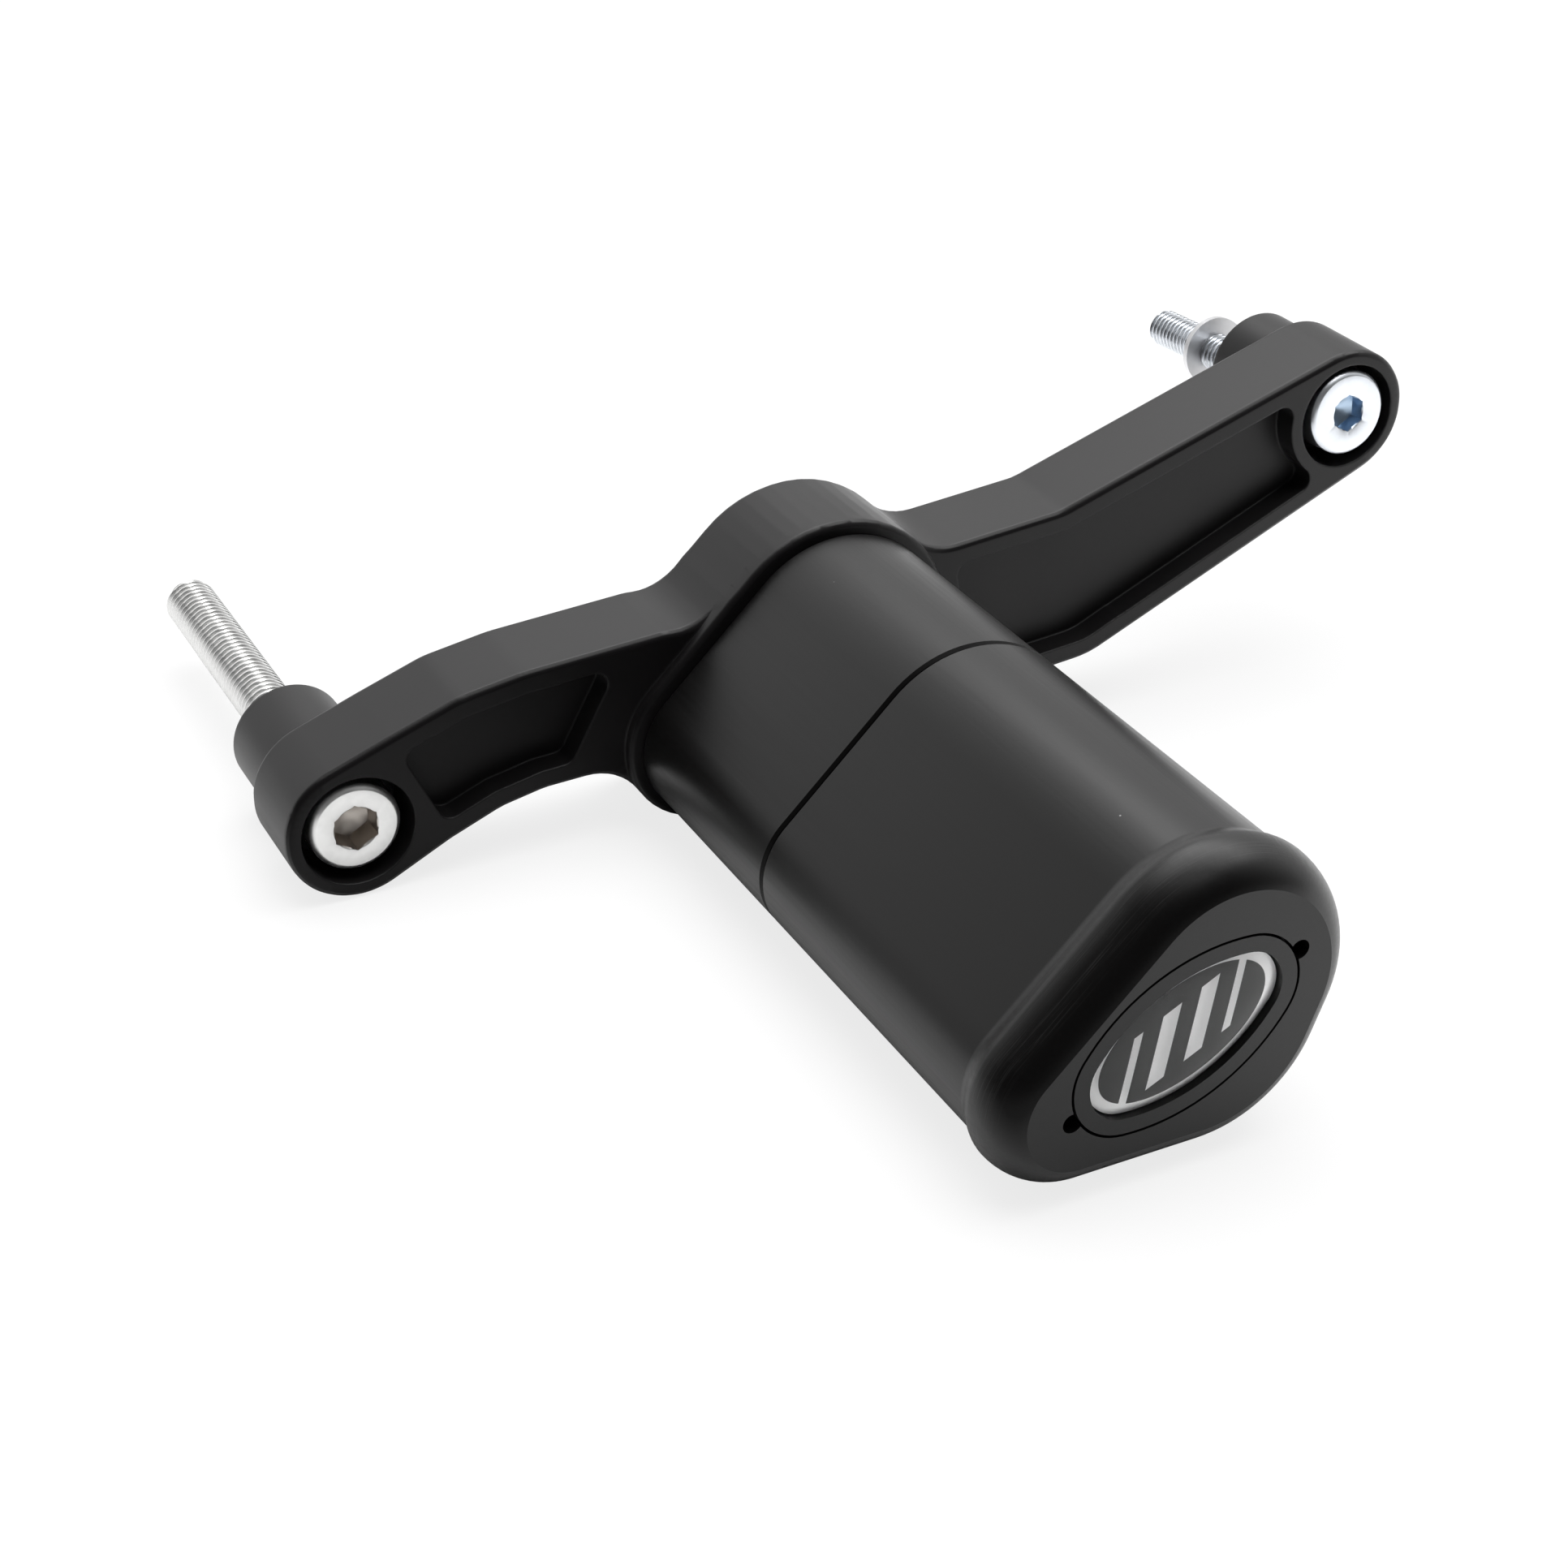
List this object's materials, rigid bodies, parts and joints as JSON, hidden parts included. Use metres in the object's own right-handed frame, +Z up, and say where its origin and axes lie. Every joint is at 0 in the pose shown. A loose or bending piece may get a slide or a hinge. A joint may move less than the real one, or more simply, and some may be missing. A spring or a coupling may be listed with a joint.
{
  "type": "motorcycle frame slider",
  "caption": "Frame slider for a motorcycle: a teardrop slider on a spacer block, carried by a machined two-arm bracket with its frame bolts and spacers.",
  "frame": {"origin": "bottom centre of the part's box: halfway between the bolt axes, halfway along the depth, on the floor that the part lies on", "axes": "+X along the bracket from the front bolt to the rear bolt, +Y into the motorcycle along the bolts, +Z up as the part lies on the floor; the slider points along -Y"},
  "size_m": [0.1792, 0.18, 0.0503],
  "materials": {
    "anodised_black": "machined and black anodised, matt",
    "block_black": "machined engineering plastic, satin",
    "slider_black": "machined engineering plastic, satin with fine tool marks",
    "plug_black": "moulded, satin",
    "badge_foil": "silver foil with dark printed fields",
    "clear_resin": "clear domed resin, glossy",
    "stainless": "plain bright steel",
    "blue_zinc": "bright zinc with a blue tint",
    "plated_steel": "plated steel",
    "spacer_black": "turned and black anodised"
  },
  "bodies": {
    "root": {"bracket": "anodised_black", "inner_block": "block_black", "outer_slider": "slider_black", "slider_sleeve": "plated_steel", "slider_bolt": "plated_steel", "slider_washer": "plated_steel", "slider_nut": "plated_steel", "hub_dowels": "plated_steel", "slider_dowels": "plated_steel", "end_plug": "plug_black", "badge_plate": "badge_foil", "badge_dome": "clear_resin", "front_bolt": "stainless", "front_spacer": "spacer_black", "rear_bolt": "blue_zinc", "rear_washer": "stainless", "rear_spacer": "spacer_black", "rear_ring": "stainless"}
  },
  "joints": []
}
